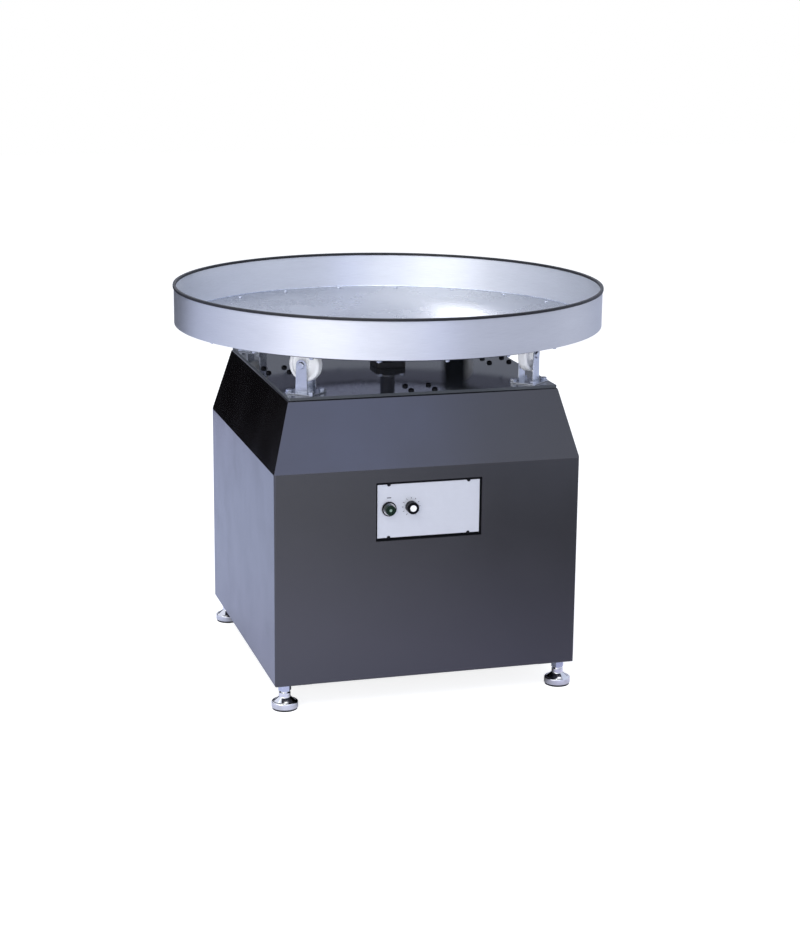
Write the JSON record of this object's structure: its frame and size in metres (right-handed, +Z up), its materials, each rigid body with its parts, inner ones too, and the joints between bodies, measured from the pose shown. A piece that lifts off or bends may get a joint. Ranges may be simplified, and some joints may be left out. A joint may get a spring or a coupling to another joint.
{
  "type": "accumulation table",
  "caption": "Round rimmed turntable that rolls on upturned casters, turned by a gear motor inside a square cabinet with sloped shoulders, levelling feet, a start button and a speed knob.",
  "frame": {"origin": "on the floor at the middle of the footprint, under the table's axis", "axes": "+Z up along the table's axis; the control plate faces -Y; +X is to the right of someone facing the control plate"},
  "size_m": [0.9183, 0.9184, 0.8295],
  "materials": {
    "cabinet_paint": "semi-gloss charcoal powder coat",
    "deck_paint": "gloss charcoal enamel",
    "bare_steel": "machined, lightly oiled",
    "bearing_steel": "ground",
    "zinc": "bright zinc plate",
    "black_steel": "black oxide",
    "black_cast_iron": "black enamel on a casting",
    "coupling_aluminium": "turned",
    "spider_rubber": "moulded",
    "cast_aluminium": "as cast",
    "motor_paint": "satin enamel",
    "control_aluminium": "satin anodised",
    "black_rubber": "matt",
    "black_plastic": "fine satin",
    "board_green": "solder mask",
    "chrome": "polished",
    "green_plastic": "gloss",
    "grey_plastic": "moulded",
    "white_plastic": "gloss",
    "table_aluminium": "satin rolled plate",
    "rim_steel": "fine brushed, cool grey",
    "trim_rubber": "smooth extrusion",
    "wheel_plastic": "smooth nylon"
  },
  "bodies": {
    "cabinet": {"front_panel": "cabinet_paint", "rear_panel": "cabinet_paint", "left_panel": "cabinet_paint", "right_panel": "cabinet_paint", "deck_plate": "deck_paint", "corner_plates": "bare_steel", "foot_lock_nuts": "zinc", "caster_fork_front_left": "zinc", "caster_fork_front_right": "zinc", "caster_fork_rear_left": "zinc", "caster_fork_rear_right": "zinc", "caster_fasteners": "zinc", "spare_hole_screws": "black_steel", "bearing_housing": "black_cast_iron", "bearing_outer_ring": "bearing_steel", "drive_bolts": "zinc", "motor_bracket": "deck_paint", "gear_case": "cast_aluminium", "gear_case_cover": "cast_aluminium", "motor_housing": "motor_paint", "control_plate": "control_aluminium", "control_gasket": "black_rubber", "control_enclosure": "black_plastic", "drive_board": "board_green", "panel_screws": "black_steel", "button_bezel": "chrome", "contact_block": "grey_plastic", "potentiometer": "cast_aluminium", "access_cover": "cabinet_paint", "supply_gland": "black_plastic", "internal_leads": "black_rubber"},
    "turntable": {"table_disc": "table_aluminium", "track_ring": "bare_steel", "rim_band": "rim_steel", "edge_trim": "trim_rubber", "rim_screws_and_nuts": "zinc", "hub_flange": "bare_steel", "hub_studs": "zinc", "drive_shaft": "bearing_steel", "bearing_inner_ring": "bearing_steel", "coupling_hubs": "coupling_aluminium", "coupling_spider": "spider_rubber", "output_shaft": "bearing_steel", "output_gear": "bare_steel"},
    "rotor": {"motor_rotor": "bare_steel"},
    "button": {"push_button": "green_plastic"},
    "knob": {"speed_knob": "black_plastic", "knob_cap": "white_plastic"},
    "front_left_wheel": {"caster_wheel_front_left": "wheel_plastic"},
    "front_left_foot": {"foot_front_left": "chrome", "foot_pad_front_left": "black_rubber"},
    "front_right_wheel": {"caster_wheel_front_right": "wheel_plastic"},
    "front_right_foot": {"foot_front_right": "chrome", "foot_pad_front_right": "black_rubber"},
    "rear_left_wheel": {"caster_wheel_rear_left": "wheel_plastic"},
    "rear_left_foot": {"foot_rear_left": "chrome", "foot_pad_rear_left": "black_rubber"},
    "rear_right_wheel": {"caster_wheel_rear_right": "wheel_plastic"},
    "rear_right_foot": {"foot_rear_right": "chrome", "foot_pad_rear_right": "black_rubber"}
  },
  "joints": [
    {"name": "table_spin", "type": "hinge", "parent": "cabinet", "child": "turntable", "pos_m": [0, 0, 0.6486], "axis": [0, 0, 1], "continuous": true},
    {"name": "motor_spin", "type": "hinge", "parent": "cabinet", "child": "rotor", "pos_m": [0, 0.0675, 0.4], "axis": [0, 0, 1], "continuous": true},
    {"name": "front_left_wheel_spin", "type": "hinge", "parent": "cabinet", "child": "front_left_wheel", "pos_m": [-0.2381, -0.2381, 0.7072], "axis": [-0.7071, -0.7071, 0], "continuous": true},
    {"name": "front_right_wheel_spin", "type": "hinge", "parent": "cabinet", "child": "front_right_wheel", "pos_m": [0.2381, -0.2381, 0.7072], "axis": [0.7071, -0.7071, 0], "continuous": true},
    {"name": "rear_left_wheel_spin", "type": "hinge", "parent": "cabinet", "child": "rear_left_wheel", "pos_m": [-0.2381, 0.2381, 0.7072], "axis": [-0.7071, 0.7071, 0], "continuous": true},
    {"name": "rear_right_wheel_spin", "type": "hinge", "parent": "cabinet", "child": "rear_right_wheel", "pos_m": [0.2381, 0.2381, 0.7072], "axis": [0.7071, 0.7071, 0], "continuous": true},
    {"name": "front_left_foot_turn", "type": "hinge", "parent": "cabinet", "child": "front_left_foot", "pos_m": [-0.298, -0.298, 0.05], "axis": [0, 0, 1], "range_deg": [-1800, 720]},
    {"name": "front_right_foot_turn", "type": "hinge", "parent": "cabinet", "child": "front_right_foot", "pos_m": [0.298, -0.298, 0.05], "axis": [0, 0, 1], "range_deg": [-1800, 720]},
    {"name": "rear_left_foot_turn", "type": "hinge", "parent": "cabinet", "child": "rear_left_foot", "pos_m": [-0.298, 0.298, 0.05], "axis": [0, 0, 1], "range_deg": [-1800, 720]},
    {"name": "rear_right_foot_turn", "type": "hinge", "parent": "cabinet", "child": "rear_right_foot", "pos_m": [0.298, 0.298, 0.05], "axis": [0, 0, 1], "range_deg": [-1800, 720]},
    {"name": "button_press", "type": "slide", "parent": "cabinet", "child": "button", "axis": [0, 1, 0], "range_m": [0, 0.004], "stiffness_N_per_m": 500},
    {"name": "speed_knob_turn", "type": "hinge", "parent": "cabinet", "child": "knob", "pos_m": [-0.0374, -0.319, 0.4185], "axis": [0, 1, 0], "range_deg": [-150, 150]}
  ],
  "couplings": [
    {"joint": "motor_spin", "follows": "table_spin", "ratio": -4},
    {"joint": "front_left_wheel_spin", "follows": "table_spin", "ratio": -9.6207},
    {"joint": "front_right_wheel_spin", "follows": "table_spin", "ratio": -9.6207},
    {"joint": "rear_left_wheel_spin", "follows": "table_spin", "ratio": -9.6207},
    {"joint": "rear_right_wheel_spin", "follows": "table_spin", "ratio": -9.6207}
  ]
}
